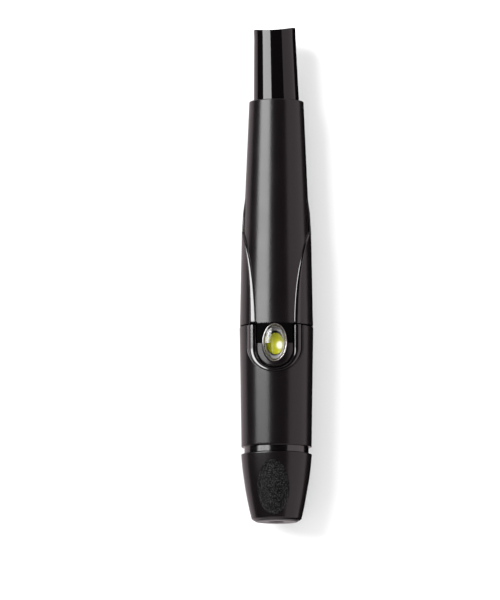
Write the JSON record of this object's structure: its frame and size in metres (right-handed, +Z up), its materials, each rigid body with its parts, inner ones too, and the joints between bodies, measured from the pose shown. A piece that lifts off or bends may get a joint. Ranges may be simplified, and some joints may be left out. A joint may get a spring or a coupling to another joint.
{
  "type": "lancing device",
  "caption": "Pen-type lancing device with a depth dial, a sliding ejector barrel, a release button and a priming plunger.",
  "frame": {"origin": "centre of the exit hole, at the face of the contact ring in the tip", "axes": "+Y along the pen from the tip to the priming button, +Z up through the release button, +X to the right; the pen lies on its back"},
  "size_m": [0.0148, 0.0994, 0.0152],
  "materials": {
    "satin_black": "fine-grained satin black",
    "gloss_black": "polished black",
    "tip_grey": "satin dark grey",
    "clear_plastic": "clear, polished",
    "bright_rim": "bright polished ring",
    "indicator_yellow": "satin yellow-green",
    "rotor_black": "satin black",
    "inner_plastic": "natural acetal",
    "spring_steel": "bright drawn"
  },
  "bodies": {
    "housing": {"rear_barrel": "satin_black", "button_surround": "satin_black", "chassis_tube": "inner_plastic", "rotor_retainer": "inner_plastic", "rear_bush": "inner_plastic", "latch_blade": "spring_steel", "priming_spring": "spring_steel"},
    "ejector": {"front_barrel": "satin_black", "ejector_bar": "inner_plastic"},
    "cap": {"cap_collar": "satin_black", "click_ring": "spring_steel"},
    "dial": {"depth_dial": "satin_black"},
    "tip": {"contact_ring": "tip_grey"},
    "button": {"release_button": "clear_plastic", "button_rim": "bright_rim", "button_frame": "gloss_black"},
    "rotor": {"drive_rotor": "rotor_black", "indicator": "indicator_yellow", "drive_spring": "spring_steel", "return_spring": "spring_steel"},
    "carriage": {"lancet_holder": "inner_plastic", "collet_ring": "spring_steel", "carriage_rod": "inner_plastic", "follower_pin": "spring_steel", "rod_clip": "spring_steel"},
    "tension": {"tension_rotor": "inner_plastic"},
    "plunger": {"priming_button": "gloss_black", "priming_sleeve": "inner_plastic"}
  },
  "joints": [
    {"name": "eject_slide", "type": "slide", "parent": "housing", "child": "ejector", "axis": [0, -1, 0], "range_m": [0, 0.0045]},
    {"name": "cap_pull", "type": "slide", "parent": "ejector", "child": "cap", "axis": [0, -1, 0], "range_m": [0, 0.025]},
    {"name": "dial_turn", "type": "hinge", "parent": "cap", "child": "dial", "pos_m": [0, 0, 0], "axis": [0, 1, 0], "range_deg": [-120.5, 120.5], "deforming": ["click_ring"]},
    {"name": "tip_slide", "type": "slide", "parent": "cap", "child": "tip", "axis": [0, 1, 0], "range_m": [-0.00075, 0.00075]},
    {"name": "release_press", "type": "slide", "parent": "housing", "child": "button", "axis": [0, 0, -1], "range_m": [0, 0.0006], "stiffness_N_per_m": 500, "deforming": ["latch_blade"]},
    {"name": "priming_press", "type": "slide", "parent": "housing", "child": "plunger", "axis": [0, -1, 0], "range_m": [0, 0.009], "stiffness_N_per_m": 300, "deforming": ["priming_spring"]},
    {"name": "tension_turn", "type": "hinge", "parent": "housing", "child": "tension", "pos_m": [0, 0.06, 0], "axis": [0, 1, 0], "range_deg": [-1, 91]},
    {"name": "rotor_turn", "type": "hinge", "parent": "housing", "child": "rotor", "pos_m": [0, 0.04, 0], "axis": [0, 1, 0], "range_deg": [-0.5, 170.5], "deforming": ["drive_spring", "return_spring"]},
    {"name": "lancet_stroke", "type": "slide", "parent": "housing", "child": "carriage", "axis": [0, -1, 0], "range_m": [0, 0.005]}
  ],
  "couplings": [
    {"joint": "dial_turn", "follows": "tip_slide", "rad_per_m": 2792.5},
    {"joint": "tension_turn", "follows": "priming_press", "rad_per_m": 174.53},
    {"joint": "rotor_turn", "follows": "lancet_stroke", "rad_per_m": 593.41}
  ]
}
